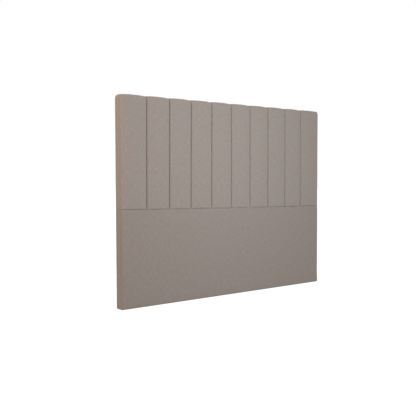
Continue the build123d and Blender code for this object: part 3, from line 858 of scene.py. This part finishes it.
def pan_head(tree, given):
    """A screw's domed head, cut level below and with a cross recess above."""
    dome = add_node(tree, "GeometryNodeMeshUVSphere", {"Segments": 32, "Rings": 16, "Radius": 1.0})
    size = add_node(tree, "ShaderNodeCombineXYZ", {
        "X": given["head"], "Y": given["head"], "Z": given["rise"]})
    head = add_node(tree, "GeometryNodeTransform", {
        "Geometry": dome.outputs["Mesh"], "Scale": size.outputs["Vector"]})
    below = add_node(tree, "GeometryNodeMeshCube", {"Size": (20 * MM, 20 * MM, 10 * MM)})
    cutters = [add_node(tree, "GeometryNodeTransform", {
        "Geometry": below.outputs["Mesh"], "Translation": (0, 0, -5 * MM)}).outputs["Geometry"]]
    for turn in (0, pi / 2):
        slot = add_node(tree, "GeometryNodeMeshCube", {"Size": (4.4 * MM, 0.9 * MM, 3 * MM)})
        cutters.append(add_node(tree, "GeometryNodeTransform", {
            "Geometry": slot.outputs["Mesh"], "Translation": (0, 0, 2.3 * MM),
            "Rotation": (0, 0, turn)}).outputs["Geometry"])
    cut = add_node(tree, "GeometryNodeMeshBoolean", {"Mesh 1": head.outputs["Geometry"]},
                   operation="DIFFERENCE")
    for cutter in cutters:
        tree.links.new(cutter, cut.inputs["Mesh 2"])
    return cut.outputs["Mesh"]


def bracket_screws(name, material):
    """Pan-head wood screws, one at each end of the two brackets."""
    sizes = {"head": 4 * MM, "rise": HEAD_RISE, "shank": 2 * MM, "length": 17 * MM, "seed": 7}
    tree, given = node_tree("pan_head_screws", **sizes)
    body = add_node(tree, "GeometryNodeMeshCylinder", {
        "Vertices": 16, "Radius": given["shank"], "Depth": given["length"]})
    tip = add_node(tree, "GeometryNodeMeshCone", {
        "Vertices": 16, "Radius Top": 0.0, "Radius Bottom": given["shank"], "Depth": 5 * MM})
    sunk = add_node(tree, "ShaderNodeMath", {0: given["length"], 1: -0.5}, operation="MULTIPLY")
    down = add_node(tree, "ShaderNodeCombineXYZ", {"Z": sunk.outputs[0]})
    shank = add_node(tree, "GeometryNodeTransform", {
        "Geometry": body.outputs["Mesh"], "Translation": down.outputs["Vector"]})
    end = add_node(tree, "ShaderNodeMath", {0: given["length"], 1: -1.0}, operation="MULTIPLY")
    lowest = add_node(tree, "ShaderNodeCombineXYZ", {"Z": end.outputs[0]})
    point = add_node(tree, "GeometryNodeTransform", {
        "Geometry": tip.outputs["Mesh"], "Translation": lowest.outputs["Vector"],
        "Rotation": (pi, 0, 0)})
    screw = add_node(tree, "GeometryNodeJoinGeometry")
    for part in (pan_head(tree, given), shank.outputs["Geometry"], point.outputs["Geometry"]):
        tree.links.new(part, screw.inputs["Geometry"])
    spin = add_node(tree, "FunctionNodeRandomValue", {
        "Min": (0, 0, 0), "Max": (0, 0, pi / 2), "Seed": given["seed"]}, data_type="FLOAT_VECTOR")
    set_out = add_node(tree, "GeometryNodeInstanceOnPoints", {
        "Points": given["Geometry"], "Instance": screw.outputs["Geometry"],
        "Rotation": spin.outputs["Value"]})
    end_tree(tree, set_out.outputs["Instances"], material)
    places = []
    for node in ("hanger_bracket_left", "hanger_bracket_right"):
        low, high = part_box(node)
        places += [(x, (low.z + high.z) / 2, 0) for x in (low.x + SCREW_IN, high.x - SCREW_IN)]
    return grown(name, places, [], tree, **sizes)


def stand_up(piece, level_y):
    """Turns a piece that was laid out flat, so that it lies on an upright plane and faces back."""
    piece.data.transform(Matrix(((1, 0, 0, 0), (0, 0, 1, level_y), (0, 1, 0, 0), (0, 0, 0, 1))))
    shape = bmesh.new()
    shape.from_mesh(piece.data)
    bmesh.ops.recalc_face_normals(shape, faces=shape.faces)
    shape.to_mesh(piece.data)
    shape.free()


def camera():
    """The photograph's viewpoint: from the front left, at sitting height, tilted slightly down."""
    place = Vector((-2.613, -3.090, 0.732))
    yaw, down, roll = radians(38.39), radians(2.65), radians(-0.13)
    ahead = Vector((sin(yaw) * cos(down), cos(yaw) * cos(down), -sin(down)))
    level = Vector((cos(yaw), -sin(yaw), 0))
    upright = level.cross(ahead)
    across = cos(roll) * level + sin(roll) * upright
    above = cos(roll) * upright - sin(roll) * level
    lens = bpy.data.cameras.new("photo_camera")
    lens.lens = 55.44
    lens.sensor_width = 36
    view = bpy.data.objects.new("photo_camera", lens)
    view.matrix_world = Matrix((
        (across.x, above.x, -ahead.x, place.x),
        (across.y, above.y, -ahead.y, place.y),
        (across.z, above.z, -ahead.z, place.z),
        (0, 0, 0, 1),
    ))
    bpy.context.scene.collection.objects.link(view)
    bpy.context.scene.camera = view


def soft_box(name, place, aim, size, watts, tint):
    """A square soft box."""
    light = bpy.data.lights.new(name, "AREA")
    light.shape = "SQUARE"
    light.size = size
    light.energy = watts
    light.color = colour(tint)[:3]
    box = bpy.data.objects.new(name, light)
    box.location = place
    box.rotation_euler = (Vector(aim) - Vector(place)).to_track_quat("-Z", "Y").to_euler()
    bpy.context.scene.collection.objects.link(box)


def studio(paper):
    """White surroundings and floor, a cool soft box in front and a warm one at the left."""
    edge = 30
    sweep = Shell()
    sweep.grid(np.array([[-edge, edge], [-edge, edge]]), np.array([[-edge], [edge]]), 0.0)
    floor = finished_piece("floor", sweep, paper, smooth=False)
    floor.data.transform(Matrix.Translation((0, 0, -0.6 * MM)))
    world = bpy.data.worlds.new("white_surroundings")
    world.use_nodes = True
    world.node_tree.nodes["Background"].inputs["Color"].default_value = (1, 1, 1, 1)
    world.node_tree.nodes["Background"].inputs["Strength"].default_value = 1.0
    bpy.context.scene.world = world
    bpy.context.scene.view_settings.view_transform = "Standard"
    soft_box("front_soft_box", (-0.12, -1.7, 1.12), aim=(-0.05, 0, 0.96),
             size=0.9, watts=41, tint="#e2f2ff")
    soft_box("left_soft_box", (-2.4, -0.3, 1.8), aim=(-0.8, 0, 1.0),
             size=0.8, watts=38.5, tint="#ffe7cb")


def keep_cad_nodes(finishes):
    """Gives each CAD node that stays its real material."""
    for node, material in finishes.items():
        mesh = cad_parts[node].data
        mesh.materials.clear()
        mesh.materials.append(material)


def stands_for(piece, slot, *nodes):
    """Fixes a piece to the frame, and hides the nodes that it stands for."""
    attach(piece, "root")
    if nodes:
        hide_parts(*nodes)


camera()
studio(studio_paper())
fabric = woven_fabric("woven_linen_look_polyester", "#655a52", "#756a64")
# the lower cover gets a copy of the same cloth made a little darker: painted shade, for the light
# that falls off towards the bottom
fabric_painted_darker = woven_fabric("woven_linen_look_polyester_painted_shade", "#62574f", "#716661")
foam = foam_cells()
batting = polyester_batting()
tape = twill_tape()
pine_upright = sawn_timber("planed_pine_upright", "#e6c894", "#c79a5c", along=(60, 60, 3), ring=1.4)
pine_level = sawn_timber("planed_pine_level", "#e6c894", "#c79a5c", along=(3, 60, 60), ring=1.4)
beech = sawn_timber("beech_tenon_stock", "#d9b48a", "#c0936a", along=(20, 60, 60), ring=1.6)
hardboard = pressed_board("oil_tempered_hardboard", "#5b3a22", "#7c5535", chip=4 * MM)
plywood = pressed_board("birch_plywood_offcut", "#c7a374", "#e0c294", chip=12 * MM)
dust_fabric = spunbond_cloth()
plated_strip = zinc_steel("zinc_plated_strip_steel", roughness=0.32)
plated_wire = zinc_steel("galvanised_staple_wire", roughness=0.38)

path_upper, path_lower = rows_upper(), rows_lower()
cover_upper = cover("cover_upper_skin", path_upper, all_channels(), EDGES, CHANNEL_PRESSURE,
                    fabric, UPPER_SEED)
cover_lower = cover("cover_lower_skin", path_lower, plain_face(), EDGES[::CHANNELS], PLAIN_PRESSURE,
                    fabric_painted_darker, LOWER_SEED)
stands_for(cover_upper, "upholstery_fabric", "cover_upper")
stands_for(cover_lower, "upholstery_fabric", "cover_lower")

strip_rows = pad_rows(path_upper[:-OVER_TOP_ROWS], 1)
strips = []
for k in range(CHANNELS):
    strip = pad(f"foam_strip_{k + 1:02d}", strip_rows, channel(k, UNDER), BOARD_FACE, None, foam,
                UPPER_SEED, sides=(k == 0, k == CHANNELS - 1))
    stands_for(strip, "foam", f"foam_channel_{k + 1:02d}")
    strips.append(strip)
lower_foam = pad("foam_sheet_lower", pad_rows(path_lower[BEHIND_ROWS:], -1), plain_face(UNDER),
                 BOARD_FACE, None, foam, LOWER_SEED)
stands_for(lower_foam, "foam", "foam_lower")
top_roll = pad("batting_top", path_upper[-OVER_TOP_ROWS:], all_channels(UNDER), None, FRAME_TOP,
               batting, UPPER_SEED)
stands_for(top_roll, "wadding", "wadding_top")
fill_right_corner(strips[-1])
fill_right_corner(top_roll)
left_roll = side_batting("batting_left", -1, batting)
stands_for(left_roll, "wadding", "wadding_left")
right_roll = side_batting("batting_right", 1, batting)
stands_for(right_roll, "wadding", "wadding_right")
tapes = pull_in_tapes("pull_in_tapes", tape)
stands_for(tapes, "tape", "seam_tapes")
dust_cloth = stretched_dust_cloth("dust_cloth", dust_fabric)
stands_for(dust_cloth, "dust_cloth", "dust_cover")

cloth_staples = staples("dust_cloth_staples", plated_wire)
stand_up(cloth_staples, BACK + STAPLE_LEVEL)
stands_for(cloth_staples, "screw_steel")
screws = bracket_screws("hanger_pan_head_screws", plated_strip)
stand_up(screws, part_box("hanger_screws")[1].y - HEAD_RISE)
stands_for(screws, "screw_steel", "hanger_screws")

keep_cad_nodes({
    **{n: pine_upright for n in ("stile_left", "stile_right", "stud_upper_left",
                                 "stud_upper_right", "stud_lower_left", "stud_lower_right")},
    **{n: pine_level for n in ("top_rail", "middle_rail", "bottom_rail")},
    **{f"corner_block_{e}_{s}": plywood for e in ("top", "bottom") for s in ("left", "right")},
    "frame_tenons": beech, "board_upper": hardboard, "board_lower": hardboard,
    "hanger_bracket_left": plated_strip, "hanger_bracket_right": plated_strip,
})
